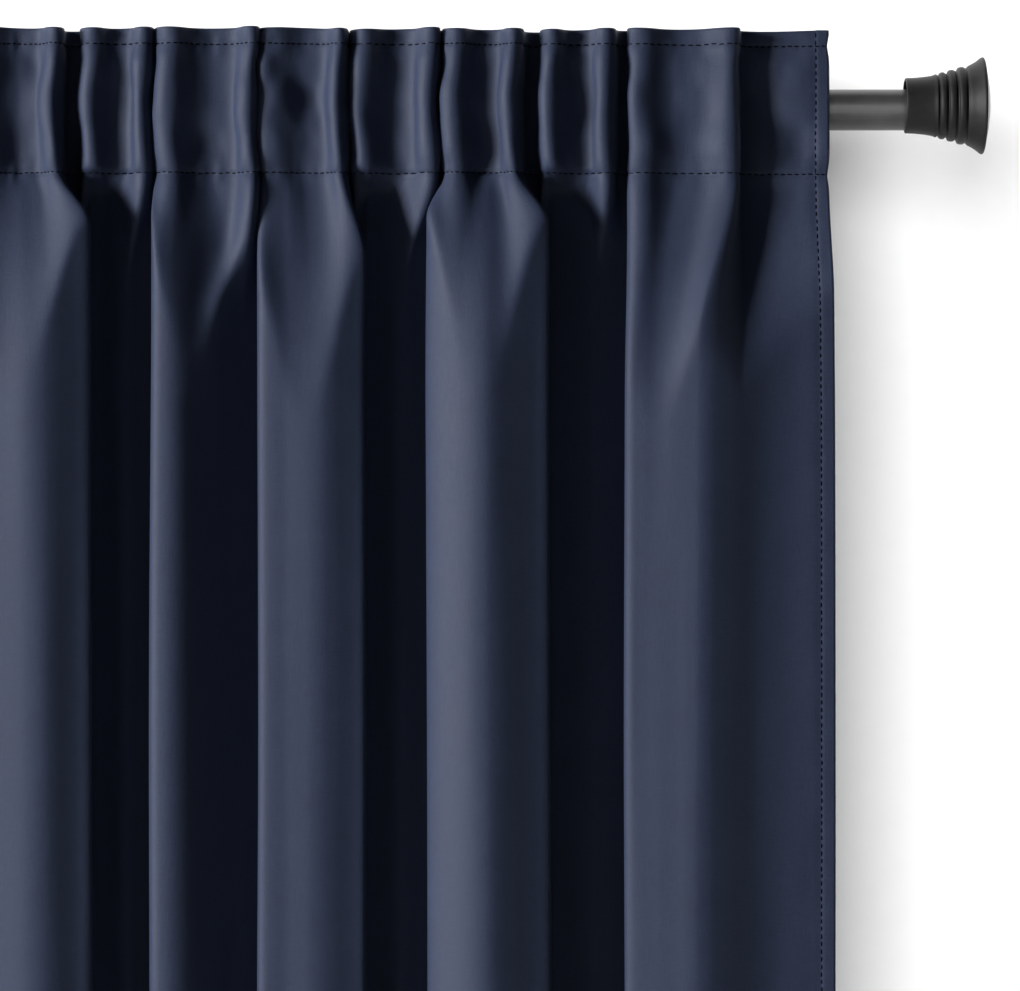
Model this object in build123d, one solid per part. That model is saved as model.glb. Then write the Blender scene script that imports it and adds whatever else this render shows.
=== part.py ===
from build123d import *
import math
import os

# Pair of navy back-tab curtain panels on a telescoping rod with three wall
# brackets. Millimetres. Origin: back face of the centre bracket's wall plate.
# +X runs along the rod to the viewer's right, +Z up, +Y into the wall.

# ---------------------------------------------------------------- dimensions
ROD_Z = 24.0            # rod axis above the centre of the wall plates
ROD_OUT = 95.0          # rod axis to wall, arms pushed fully in
OUTER_R = 14.3          # outer tube, outside radius
OUTER_BORE = 13.3       # outer tube, inside radius
INNER_R = 12.7          # inner tube, outside radius (1 in tube)
INNER_BORE = 11.8       # inner tube, inside radius
OUTER_X = (-788.0, 300.0)
INNER_X = (-240.0, 788.0)
TIP_X = 766.8           # small end of each finial, from the centre

BRACKET_X = {"left": -640.0, "centre": 0.0, "right": 640.0}
PLATE_W, PLATE_H, PLATE_T = 24.0, 76.0, 3.0
SCREW_SPACING = 56.0    # wall screw holes, one above the other
SCREW_HOLE_R = 2.6
ARM_W, ARM_H = 14.0, 8.0
ARM_GAP = 0.3
SOCKET_WALL = 2.0
SOCKET_LEN = 60.0
ARM_REAR = 8.0          # arm's rear end to wall
CUP_W = 18.0
CUP_GAP = 0.3
CUP_WALL = 3.0
CUP_LIP = 11.0          # lip height above the rod axis

FINIAL_BORE = 15.5      # one bore size for both tubes
FINIAL_SEAT = 0.2       # gap between tube and bore where it lies

CUT_HEIGHT = 2134.0     # finished panel height (84 in)
TOP_ABOVE_ROD = 46.0    # top edge of the header above the rod axis
HEADER_LOW = 42.0       # lower stitch line below the rod axis
FOLD_LOW = 134.0        # below the rod axis, where the folds hang straight
CLOTH_T = 3.0
WALL_T = 2.2            # least thickness measured square to a steep fold wall
U = 0.61                # unit of the fold tables below, in mm
U_MID, X_MID = 510.0, 521.6     # table position, and where it lies along the rod
TAB_W = 26.0
TAB_T = 1.2
TAB_TOP, TAB_LOW = 41.0, 38.0
TAB_U = [785, 632, 443, 259, 79, -108, -285]

# Folds seen from above, from the outer edge to the leading edge. Each pair is
# (position along the rod in units of U, distance in front of the rod axis, mm).
HEADER = [
    [(828, 21), (806, 19), (785, 19), (762, 19), (742, 19),
     (737, 36), (730, 51), (712, 55), (690, 47), (665, 45), (645, 48), (632, 50), (627, 43),
     (622, 19), (613, 19), (606, 38), (596, 41), (580, 27), (562, 31), (548, 36), (541, 30), (538, 19)],
    [(538, 19), (534, 19), (519, 36), (510, 46), (500, 30), (480, 30), (458, 37), (447, 40), (442, 33),
     (439.5, 19), (436.5, 19), (432, 36), (422, 43), (410, 24), (385, 28), (362, 38), (350, 32), (348, 19)],
    [(348, 19), (345.4, 19), (342, 42), (334, 48), (318, 42), (300, 35), (280, 36), (266, 38), (259.5, 32),
     (257, 19), (252, 28), (246, 42), (236, 44), (222, 26), (195, 33), (170, 43), (157, 38), (155, 19)],
    [(155, 19), (151, 19), (146, 36), (137, 40), (124, 23), (104, 31), (88, 39), (80, 32),
     (78, 19), (62, 19), (55, 38), (45, 43), (32, 24), (8, 33), (-14, 42), (-24, 36), (-26, 19)],
    [(-26, 19), (-31, 19), (-37, 37), (-47, 41), (-62, 24), (-82, 30), (-99, 39), (-107, 33),
     (-109, 19), (-118, 19), (-126, 38), (-136, 43), (-150, 27), (-172, 33), (-192, 41), (-203, 36), (-205, 19)],
    [(-205, 19), (-211, 19), (-218, 36), (-228, 40), (-242, 25), (-258, 30), (-272, 37), (-282, 32),
     (-285, 19), (-294, 19), (-306, 19), (-318, 20), (-332, 22)],
]
DRAPE = [
    [(833, 33), (812, 34), (792, 36), (768, 40), (748, 45),
     (735, 49), (715, 56), (695, 61), (678, 61), (660, 58), (645, 54), (634, 49), (627, 42),
     (621, 22), (613, 19), (603, 19), (592, 19), (580, 19), (568, 19), (556, 20), (550, 26), (548, 40)],
    [(548, 40), (545, 53), (532, 59), (512, 64), (490, 68), (465, 67), (445, 62), (433, 55), (427, 46),
     (424, 30), (420, 20), (412, 19), (402, 19), (392, 19), (382, 19), (374, 20), (368.4, 27), (365.6, 42)],
    [(365.6, 42), (363.3, 50), (352, 54), (338, 57), (320, 60), (300, 61), (282, 59), (268, 55), (259.5, 47),
     (255, 27), (246, 26), (232, 31), (215, 41), (198, 49), (180, 56), (163, 58), (151, 47), (148, 27)],
    [(148, 27), (144, 20), (136, 19), (126, 19), (116, 19), (106, 19), (97, 20), (92.5, 28),
     (88, 42), (83.5, 52), (70, 57), (48, 61), (20, 66), (-10, 66), (-34, 60), (-46, 47), (-49, 27)],
    [(-49, 27), (-53, 20), (-60, 19), (-70, 19), (-82, 19), (-94, 19), (-102.5, 20), (-108, 28),
     (-113.5, 42), (-118.5, 50), (-130, 56), (-148, 60), (-166, 61), (-182, 59), (-195, 53), (-203, 44), (-206, 28)],
    [(-206, 28), (-211, 20), (-219, 19), (-229, 19), (-240, 19), (-251, 21), (-261, 28), (-270, 38),
     (-280, 47), (-292, 52), (-304, 50), (-317, 42), (-328, 32)],
]

os.makedirs("parts", exist_ok=True)
ROD_Y = -ROD_OUT


def save(shape, name):
    shape.label = name
    export_step(shape, "parts/" + name + ".step")


def box(x0, x1, y0, y1, z0, z1):
    return Pos((x0 + x1) / 2, (y0 + y1) / 2, (z0 + z1) / 2) * Box(x1 - x0, y1 - y0, z1 - z0)


def cyl_x(r, x0, x1, y, z):
    return Pos((x0 + x1) / 2, y, z) * Rot(0, 90, 0) * Cylinder(r, x1 - x0)


# ------------------------------------------------------------------ brackets
def wall_plate(x):
    """Oval plate that lies on the wall, with two screw holes."""
    r = PLATE_W / 2
    body = box(x - r, x + r, -PLATE_T, 0, -PLATE_H / 2 + r, PLATE_H / 2 - r)
    for s in (1, -1):
        body += Pos(x, -PLATE_T / 2, s * (PLATE_H / 2 - r)) * Rot(90, 0, 0) * Cylinder(r, PLATE_T)
    front = [e for e in body.edges() if abs(e.center().Y + PLATE_T) < 0.01 and e.length > 20]
    body = fillet(front, 1.0)
    for s in (1, -1):
        body -= Pos(x, -PLATE_T / 2, s * SCREW_SPACING / 2) * Rot(90, 0, 0) * Cylinder(SCREW_HOLE_R, 3 * PLATE_T)
    return body


def arm_socket(x):
    """Rectangular sleeve welded to the plate; the arm slides in it."""
    w, h = ARM_W / 2 + ARM_GAP, ARM_H / 2 + ARM_GAP
    ow, oh = w + SOCKET_WALL, h + SOCKET_WALL
    y1 = -PLATE_T
    y0 = y1 - SOCKET_LEN
    body = box(x - ow, x + ow, y0, y1, -oh, oh)
    body = fillet(body.edges().filter_by(Axis.Y), 1.2)
    body -= box(x - w, x + w, y0 - 5, y1 + 5, -h, h)
    body -= Pos(x, LOCK_Y, -oh) * Cylinder(2.5, 8)
    return body


LOCK_Y = -54.0          # arm lock screw, distance along the socket


def knurled(r, length, n=18, depth=0.45):
    """Thumb-screw head with fine flutes, along Z."""
    head = Cylinder(r, length)
    head = chamfer(head.edges(), 0.7)
    cuts = [Pos((r + 0.3) * math.cos(2 * math.pi * i / n), (r + 0.3) * math.sin(2 * math.pi * i / n), 0) * Cylinder(depth + 0.3, length + 2)
            for i in range(n)]
    return head - cuts


def arm_lock_screw(x):
    h = ARM_H / 2 + ARM_GAP
    top = -h + 0.12
    neck = -h - SOCKET_WALL - 2.4
    shank = Pos(x, LOCK_Y, (top + neck) / 2) * Cylinder(2.42, top - neck)
    head = Pos(x, LOCK_Y, neck - 3.5) * knurled(6.5, 7.0)
    return shank + head


def arm(x, seat_r):
    """Flat bar with the U-shaped rod cup standing on its front end."""
    ri = seat_r + CUP_GAP
    ro = ri + CUP_WALL
    bar = box(x - ARM_W / 2, x + ARM_W / 2, ROD_Y - 5, -ARM_REAR, -ARM_H / 2, ARM_H / 2)
    bar = fillet(bar.edges().filter_by(Axis.Y), 0.8)
    neck = box(x - ARM_W / 2, x + ARM_W / 2, ROD_Y - 5, ROD_Y + 9, ARM_H / 2 - 1, ROD_Z - ri - 1.0)
    cup = cyl_x(ro, x - CUP_W / 2, x + CUP_W / 2, ROD_Y, ROD_Z)
    cup += box(x - CUP_W / 2, x + CUP_W / 2, ROD_Y - ro, ROD_Y + ro, ROD_Z, ROD_Z + CUP_LIP)
    cup -= box(x - CUP_W, x + CUP_W, ROD_Y - ro - 1, ROD_Y + ro + 1, ROD_Z + CUP_LIP, ROD_Z + 60)
    body = bar + neck + cup
    body -= cyl_x(ri, x - CUP_W, x + CUP_W, ROD_Y, ROD_Z)
    body -= box(x - CUP_W, x + CUP_W, ROD_Y - ri, ROD_Y + ri, ROD_Z, ROD_Z + 60)
    lips = [e for e in body.edges() if abs(e.center().Z - (ROD_Z + CUP_LIP)) < 0.01 and e.length > CUP_W - 1]
    body = fillet(lips, 1.0)
    hole = Pos(x, ROD_Y, ROD_Z) * Rot(-45, 0, 0) * (Pos(0, 0, -(ri + CUP_WALL / 2)) * Cylinder(2.0, CUP_WALL + 6))
    return body - hole


def rod_lock_screw(x, seat_r):
    ri = seat_r + CUP_GAP
    tip = ri - 0.12
    neck = ri + CUP_WALL + 1.8
    shank = Pos(0, 0, -(tip + neck) / 2) * Cylinder(1.93, neck - tip)
    head = Pos(0, 0, -(neck + 3.0)) * knurled(5.5, 6.0, n=16)
    return Pos(x, ROD_Y, ROD_Z) * Rot(-45, 0, 0) * (shank + head)


for side, bx in BRACKET_X.items():
    seat = INNER_R if side == "right" else OUTER_R
    save(wall_plate(bx), side + "_wall_plate")
    save(arm_socket(bx), side + "_arm_socket")
    save(arm(bx, seat), side + "_bracket_arm")
    save(arm_lock_screw(bx), side + "_arm_lock_screw")
    save(rod_lock_screw(bx, seat), side + "_rod_lock_screw")

# ----------------------------------------------------------------- rod tubes
outer = cyl_x(OUTER_R, OUTER_X[0], OUTER_X[1], ROD_Y, ROD_Z)
outer -= cyl_x(OUTER_BORE, OUTER_X[0] - 5, OUTER_X[1] + 5, ROD_Y, ROD_Z)
save(outer, "outer_rod_tube")
inner = cyl_x(INNER_R, INNER_X[0], INNER_X[1], ROD_Y, ROD_Z)
inner -= cyl_x(INNER_BORE, INNER_X[0] - 5, INNER_X[1] + 5, ROD_Y, ROD_Z)
save(inner, "inner_rod_tube")


# ------------------------------------------------------------------- finials
# half profile of the trumpet: (distance from the small end, radius)
TRUMPET = [
    (0.0, 16.6), (0.5, 17.1), (6.0, 17.35), (12.0, 17.9), (17.0, 18.8), (19.2, 19.6),
    (20.2, 18.9), (21.0, 19.2), (22.4, 20.7), (24.0, 20.7), (25.2, 19.9), (26.2, 20.2),
    (28.0, 22.2), (29.8, 22.2), (31.0, 21.5), (32.2, 21.9), (34.0, 24.0), (36.0, 24.0),
    (37.6, 23.2), (39.2, 24.6), (42.0, 26.2), (45.0, 28.4), (47.0, 29.9), (48.0, 30.1), (48.6, 29.6),
]
CAP_R = 28.6
CAP_SEAT = 46.6
CAP_RISE = 52.5


def finial(side):
    sgn = 1 if side == "right" else -1
    tube_r = INNER_R if side == "right" else OUTER_R
    axis_z = ROD_Z + FINIAL_BORE - FINIAL_SEAT - tube_r
    pts = list(TRUMPET)
    pts += [(48.6, CAP_R + 0.05), (CAP_SEAT, CAP_R + 0.05), (CAP_SEAT, 0), (27.0, 0), (27.0, FINIAL_BORE), (0.0, FINIAL_BORE)]
    face = make_face(Polyline(*[(TIP_X + a, 0, r) for a, r in pts], close=True))
    body = revolve(face, Axis.X, 360)
    cap_pts = [(CAP_SEAT, 0), (CAP_SEAT, CAP_R), (48.4, CAP_R)]
    dome_r = (CAP_R ** 2 + (CAP_RISE - 48.4) ** 2) / (2 * (CAP_RISE - 48.4))
    n = 8
    for i in range(1, n + 1):
        rr = CAP_R * (1 - i / n)
        cap_pts.append((CAP_RISE - dome_r + math.sqrt(dome_r ** 2 - rr ** 2), rr))
    cap_face = make_face(Polyline(*[(TIP_X + a, 0, r) for a, r in cap_pts], close=True))
    cap = revolve(cap_face, Axis.X, 360)
    place = Pos(0, ROD_Y, axis_z)
    body = place * body
    cap = place * cap
    hole_x = TIP_X + 9.0
    tip = ROD_Z + tube_r + 0.2
    top = axis_z + 17.2
    body -= Pos(hole_x, ROD_Y, axis_z + 16) * Cylinder(2.1, 12)
    screw = Pos(hole_x, ROD_Y, (tip + top) / 2) * Cylinder(2.02, top - tip)
    screw -= Pos(hole_x, ROD_Y, top) * extrude(RegularPolygon(1.1, 6), amount=-1.4)
    out = [body, cap, screw]
    if sgn < 0:
        out = [mirror(s, Plane.YZ) for s in out]
    return out


for side in ("left", "right"):
    b, c, s = finial(side)
    save(b, side + "_finial_body")
    save(c, side + "_finial_cap")
    save(s, side + "_finial_set_screw")


# -------------------------------------------------------------------- cloth
def to_x(u, d):
    """The tables' unit is a little wider at the rod than at the fold tops."""
    return X_MID + (u - U_MID) * U * (2545.0 - d) / 2500.0


def place_pair(side, u, d):
    """Table pair to (x, y); the left panel is the right one mirrored, with its
    folds a little differently spaced, as no two panels gather alike."""
    x = to_x(u, d)
    if side == "right":
        return x, ROD_Y - d
    return -(x + 9.0 * math.sin(x / 97.0 + 0.7)), ROD_Y - (19.0 + (d - 19.0) * (1 + 0.1 * math.sin(x / 61.0)))


def section(side, table, z, trim):
    """Closed outline of the cloth at height z, thick in the Y direction."""
    pts = [place_pair(side, u, d) for u, d in table]
    # keep neighbouring lengths of cloth a hair apart
    s = -1 if pts[0][0] > pts[-1][0] else 1
    pts[0] = (pts[0][0] + s * trim[0], pts[0][1])
    pts[-1] = (pts[-1][0] - s * trim[1], pts[-1][1])
    # the outside of each fold keeps its place, and the inside thickens where
    # the wall beside it is steep, so that every wall has real thickness
    t = CLOTH_T / 2
    front, back = [], []
    for i, (x, y) in enumerate(pts):
        near = [pts[j] for j in (i - 1, i + 1) if 0 <= j < len(pts)]
        slope = max(abs((q[1] - y) / max(abs(q[0] - x), 0.5)) for q in near)
        full = max(CLOTH_T, min(WALL_T * math.sqrt(1 + slope * slope), 12.0))
        ahead = [q[1] < y - 0.01 for q in near]
        if all(ahead):          # hollow: neighbours stand further forward
            f, r = full - t, t
        elif not any(ahead):    # crest
            f, r = t, full - t
        else:
            f = r = full / 2
        front.append(Vector(x, y - f, z))
        back.append(Vector(x, min(y + r, ROD_Y - 17.5), z))
    back.reverse()
    return front + back


def cloth(side, k):
    top = ROD_Z + TOP_ABOVE_ROD
    z1 = ROD_Z - HEADER_LOW
    z2 = ROD_Z - FOLD_LOW
    z3 = top - CUT_HEIGHT
    last = len(HEADER) - 1
    trim = (0.0 if k == 0 else 0.2, 0.0 if k == last else 0.2)
    rings = [section(side, HEADER[k], top, trim), section(side, HEADER[k], z1, trim),
             section(side, DRAPE[k], z2, trim), section(side, DRAPE[k], z3, trim)]
    n = len(rings[0])
    half = n // 2
    faces = [Face(Wire.make_polygon(rings[0], close=True)), Face(Wire.make_polygon(rings[3], close=True))]
    for a, b in zip(rings[:-1], rings[1:]):
        for i in range(n):
            j = (i + 1) % n
            p, q, r, s = a[i], a[j], b[j], b[i]
            flat = abs((q - p).cross(s - p).normalized().dot(r - p)) < 1e-6
            # front and back bend along the same diagonals, so they never cross
            if flat:
                faces.append(Face(Wire.make_polygon([p, q, r, s], close=True)))
            elif i < half:
                faces.append(Face(Wire.make_polygon([p, q, r], close=True)))
                faces.append(Face(Wire.make_polygon([p, r, s], close=True)))
            else:
                faces.append(Face(Wire.make_polygon([q, r, s], close=True)))
                faces.append(Face(Wire.make_polygon([q, s, p], close=True)))
    return Solid(Shell(faces))


def tab_path():
    """Centre line of a back tab, (distance in front of the rod axis, height)."""
    rr = OUTER_R + 0.5 + TAB_T / 2
    d0 = 19.0 - CLOTH_T / 2 - TAB_T / 2
    up, low = TAB_TOP - 6.0, TAB_LOW - 6.0
    pts = [(d0, TAB_TOP), (d0, up)]
    a0 = math.atan2(up, d0) + math.acos(rr / math.hypot(d0, up))
    a1 = 2 * math.pi - math.atan2(low, d0) - math.acos(rr / math.hypot(d0, low))
    n = 8
    for i in range(n + 1):
        a = a0 + (a1 - a0) * i / n
        pts.append((rr / math.cos((a1 - a0) / n / 2) * math.cos(a), rr / math.cos((a1 - a0) / n / 2) * math.sin(a)))
    pts += [(d0, -low), (d0, -TAB_LOW)]
    return pts


def tab(x):
    path = tab_path()
    t = TAB_T / 2
    left, right = [], []
    for i, (d, z) in enumerate(path):
        dirs = []
        if i > 0:
            dirs.append((d - path[i - 1][0], z - path[i - 1][1]))
        if i < len(path) - 1:
            dirs.append((path[i + 1][0] - d, path[i + 1][1] - z))
        ns = []
        for a, b in dirs:
            m = math.hypot(a, b)
            ns.append((-b / m, a / m))
        nx = sum(v[0] for v in ns) / len(ns)
        nz = sum(v[1] for v in ns) / len(ns)
        m2 = nx * nx + nz * nz
        nx, nz = nx / m2 * t, nz / m2 * t
        left.append((d + nx, z + nz))
        right.append((d - nx, z - nz))
    loop = left + right[::-1]
    pts = [Vector(x - TAB_W / 2, ROD_Y - d, ROD_Z + z) for d, z in loop]
    return extrude(Face(Wire.make_polygon(pts, close=True)), amount=TAB_W, dir=(1, 0, 0))


for side in ("right", "left"):
    for k in range(len(HEADER)):
        save(cloth(side, k), f"{side}_panel_cloth_{k + 1}")
    for i, u in enumerate(TAB_U):
        save(tab(place_pair(side, u, 19)[0]), f"{side}_back_tab_{i + 1}")
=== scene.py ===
import math

import bpy
import numpy as np
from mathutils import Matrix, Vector


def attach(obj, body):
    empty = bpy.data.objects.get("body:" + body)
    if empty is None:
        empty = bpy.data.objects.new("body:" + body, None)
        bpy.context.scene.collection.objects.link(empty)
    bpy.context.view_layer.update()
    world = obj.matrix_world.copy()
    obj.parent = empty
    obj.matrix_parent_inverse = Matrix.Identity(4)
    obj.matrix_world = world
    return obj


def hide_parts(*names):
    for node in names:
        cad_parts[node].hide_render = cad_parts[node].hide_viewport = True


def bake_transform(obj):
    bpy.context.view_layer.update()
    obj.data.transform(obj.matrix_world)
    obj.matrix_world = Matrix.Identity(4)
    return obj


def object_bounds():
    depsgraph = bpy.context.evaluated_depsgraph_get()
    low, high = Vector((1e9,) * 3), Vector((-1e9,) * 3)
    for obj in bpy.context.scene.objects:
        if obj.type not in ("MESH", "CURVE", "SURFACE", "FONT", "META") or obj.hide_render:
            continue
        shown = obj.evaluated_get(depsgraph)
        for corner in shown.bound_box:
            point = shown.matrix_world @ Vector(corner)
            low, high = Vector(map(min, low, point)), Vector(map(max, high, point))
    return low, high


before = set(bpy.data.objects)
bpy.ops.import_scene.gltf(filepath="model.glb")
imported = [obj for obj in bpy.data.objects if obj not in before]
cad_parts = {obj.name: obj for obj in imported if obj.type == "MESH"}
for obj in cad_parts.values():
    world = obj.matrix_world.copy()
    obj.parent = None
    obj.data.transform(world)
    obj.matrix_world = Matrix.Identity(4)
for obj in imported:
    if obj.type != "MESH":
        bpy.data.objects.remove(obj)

size_before = [list(map(float, c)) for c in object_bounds()]

# ------------------------------------------------------------ small helpers
ROD_Y, ROD_Z = -0.095, 0.024
EYE = (0.5216, -0.095 - 2.545, -0.2154)      # viewpoint of the reference view
U = 0.61e-3                                  # size of one table unit at the cloth
TOP_Z, LOW_Z = 0.0702, 0.024 + 0.046 - 2.134 + 0.001
UP_STITCH, LOW_STITCH, HEM_STITCH = 0.0612, -0.0177, LOW_Z + 0.100
SIDE_HEM = 0.0085
FLAT_W, FLAT_H = 1.321, 2.134


def smooth(a, b, x):
    t = np.clip((x - a) / (b - a), 0.0, 1.0)
    return t * t * (3 - 2 * t)


def noise2(x, y, seed):
    """Smooth value noise in -1..1, repeatable."""
    x, y = np.asarray(x, float), np.asarray(y, float)
    xi, yi = np.floor(x).astype(int), np.floor(y).astype(int)
    fx, fy = x - xi, y - yi
    fx, fy = fx * fx * fx * (fx * (fx * 6 - 15) + 10), fy * fy * fy * (fy * (fy * 6 - 15) + 10)

    def h(a, b):
        n = (a * 374761393 + b * 668265263 + seed * 982451653) & 0xFFFFFFFF
        n = ((n ^ (n >> 13)) * 1274126177) & 0xFFFFFFFF
        n = (n ^ (n >> 16)) & 0xFFFF
        return n / 32767.5 - 1.0

    v = (h(xi, yi) * (1 - fx) + h(xi + 1, yi) * fx) * (1 - fy) + (h(xi, yi + 1) * (1 - fx) + h(xi + 1, yi + 1) * fx) * fy
    return v


def new_mesh(name, verts, faces, uvs=None, smooth_shade=True):
    me = bpy.data.meshes.new(name)
    me.from_pydata([tuple(v) for v in verts], [], faces)
    if uvs is not None:
        layer = me.uv_layers.new(name="cloth")
        loops = np.empty(len(me.loops), int)
        me.loops.foreach_get("vertex_index", loops)
        layer.data.foreach_set("uv", np.asarray(uvs, np.float32)[loops].ravel())
    if smooth_shade:
        me.polygons.foreach_set("use_smooth", [True] * len(me.polygons))
    me.update()
    ob = bpy.data.objects.new(name, me)
    bpy.context.scene.collection.objects.link(ob)
    return ob


# ---------------------------------------------------------------- materials
def node_mat(name):
    m = bpy.data.materials.new(name)
    m.use_nodes = True
    nt = m.node_tree
    nt.nodes.clear()
    out = nt.nodes.new("ShaderNodeOutputMaterial")
    bs = nt.nodes.new("ShaderNodeBsdfPrincipled")
    nt.links.new(bs.outputs[0], out.inputs[0])
    return m, nt, bs


def add(nt, kind, **vals):
    n = nt.nodes.new(kind)
    for k, v in vals.items():
        if k in n.inputs:
            n.inputs[k].default_value = v
        else:
            setattr(n, k, v)
    return n


def math_node(nt, op, a, b=None, clamp=False):
    n = nt.nodes.new("ShaderNodeMath")
    n.operation = op
    n.use_clamp = clamp
    for i, v in enumerate((a, b)):
        if v is None:
            continue
        if hasattr(v, "is_output"):
            nt.links.new(v, n.inputs[i])
        else:
            n.inputs[i].default_value = v
    return n.outputs[0]


def ramp(nt, src, stops):
    n = nt.nodes.new("ShaderNodeValToRGB")
    el = n.color_ramp.elements
    while len(el) > 1:
        el.remove(el[-1])
    el[0].position, el[0].color = stops[0][0], (*stops[0][1], 1)
    for p, c in stops[1:]:
        e = el.new(p)
        e.color = (*c, 1)
    nt.links.new(src, n.inputs[0])
    return n.outputs[0]


def cloth_material(name, base, dark, light, rough, sheen_w):
    """Satin-faced blackout cloth: fine warp floats, slubs, soft mottling."""
    m, nt, bs = node_mat(name)
    uv = add(nt, "ShaderNodeUVMap", uv_map="cloth")
    sep = add(nt, "ShaderNodeSeparateXYZ")
    nt.links.new(uv.outputs[0], sep.inputs[0])
    u, v = sep.outputs[0], sep.outputs[1]
    wander = add(nt, "ShaderNodeTexNoise", noise_dimensions="2D", Scale=260.0, Detail=3.0, Roughness=0.7)
    nt.links.new(uv.outputs[0], wander.inputs["Vector"])
    u = math_node(nt, "ADD", u, math_node(nt, "MULTIPLY", wander.outputs[0], 0.0022))
    # satin floats: warp threads 0.30 mm apart, stepped every fifth pick
    warp = math_node(nt, "SINE", math_node(nt, "MULTIPLY", u, 2 * math.pi / 0.00030))
    diag = math_node(nt, "ADD", math_node(nt, "MULTIPLY", v, 2 * math.pi / 0.00042), math_node(nt, "MULTIPLY", u, 2 * math.pi / 0.00075))
    weft = math_node(nt, "SINE", diag)
    weave = math_node(nt, "ADD", math_node(nt, "MULTIPLY", warp, 0.6), math_node(nt, "MULTIPLY", weft, 0.4))
    # slubs: thicker threads that run along the cloth
    coords = add(nt, "ShaderNodeMapping")
    coords.inputs["Scale"].default_value = (2600.0, 90.0, 1.0)
    nt.links.new(uv.outputs[0], coords.inputs[0])
    slub = add(nt, "ShaderNodeTexNoise", noise_dimensions="2D", Scale=1.0, Detail=2.0, Roughness=0.6)
    nt.links.new(coords.outputs[0], slub.inputs["Vector"])
    coords2 = add(nt, "ShaderNodeMapping")
    coords2.inputs["Scale"].default_value = (110.0, 2300.0, 1.0)
    nt.links.new(uv.outputs[0], coords2.inputs[0])
    slub2 = add(nt, "ShaderNodeTexNoise", noise_dimensions="2D", Scale=1.0, Detail=2.0, Roughness=0.6)
    nt.links.new(coords2.outputs[0], slub2.inputs["Vector"])
    grain = add(nt, "ShaderNodeTexNoise", noise_dimensions="2D", Scale=620.0, Detail=4.0, Roughness=0.65)
    nt.links.new(uv.outputs[0], grain.inputs["Vector"])
    mott = add(nt, "ShaderNodeTexNoise", noise_dimensions="2D", Scale=38.0, Detail=3.0, Roughness=0.55)
    nt.links.new(uv.outputs[0], mott.inputs["Vector"])
    mix_f = math_node(nt, "ADD", math_node(nt, "MULTIPLY", slub.outputs[0], 0.34), math_node(nt, "MULTIPLY", slub2.outputs[0], 0.26))
    mix_f = math_node(nt, "ADD", mix_f, math_node(nt, "MULTIPLY", grain.outputs[0], 0.25))
    mix_f = math_node(nt, "ADD", mix_f, math_node(nt, "MULTIPLY", mott.outputs[0], 0.15))
    colour = ramp(nt, mix_f, [(0.36, dark), (0.5, base), (0.64, light)])
    nt.links.new(colour, bs.inputs["Base Color"])
    r = math_node(nt, "ADD", math_node(nt, "MULTIPLY", math_node(nt, "SUBTRACT", grain.outputs[0], 0.5), 0.16), rough)
    r = math_node(nt, "ADD", r, math_node(nt, "MULTIPLY", math_node(nt, "SUBTRACT", mott.outputs[0], 0.5), 0.08))
    nt.links.new(r, bs.inputs["Roughness"])
    bs.inputs["Sheen Weight"].default_value = sheen_w
    bs.inputs["Sheen Roughness"].default_value = 0.42
    bs.inputs["Sheen Tint"].default_value = (0.62, 0.72, 0.95, 1)
    bs.inputs["Specular IOR Level"].default_value = 0.28
    height = math_node(nt, "ADD", math_node(nt, "MULTIPLY", weave, 0.00003), math_node(nt, "MULTIPLY", slub.outputs[0], 0.00009))
    height = math_node(nt, "ADD", height, math_node(nt, "MULTIPLY", slub2.outputs[0], 0.00006))
    height = math_node(nt, "ADD", height, math_node(nt, "MULTIPLY", grain.outputs[0], 0.00012))
    bump = add(nt, "ShaderNodeBump", Strength=0.55, Distance=1.0)
    nt.links.new(height, bump.inputs["Height"])
    nt.links.new(bump.outputs[0], bs.inputs["Normal"])
    return m


def thread_material():
    m, nt, bs = node_mat("thread_navy")
    tc = add(nt, "ShaderNodeTexCoord")
    w = add(nt, "ShaderNodeTexNoise", Scale=2400.0, Detail=2.0)
    nt.links.new(tc.outputs["Object"], w.inputs["Vector"])
    c = ramp(nt, w.outputs[0], [(0.35, (0.0008, 0.0010, 0.0028)), (0.65, (0.0020, 0.0026, 0.0062))])
    nt.links.new(c, bs.inputs["Base Color"])
    bs.inputs["Roughness"].default_value = 0.85
    bs.inputs["Specular IOR Level"].default_value = 0.08
    bump = add(nt, "ShaderNodeBump", Strength=0.5, Distance=0.0001)
    nt.links.new(w.outputs[0], bump.inputs["Height"])
    nt.links.new(bump.outputs[0], bs.inputs["Normal"])
    return m


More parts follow.
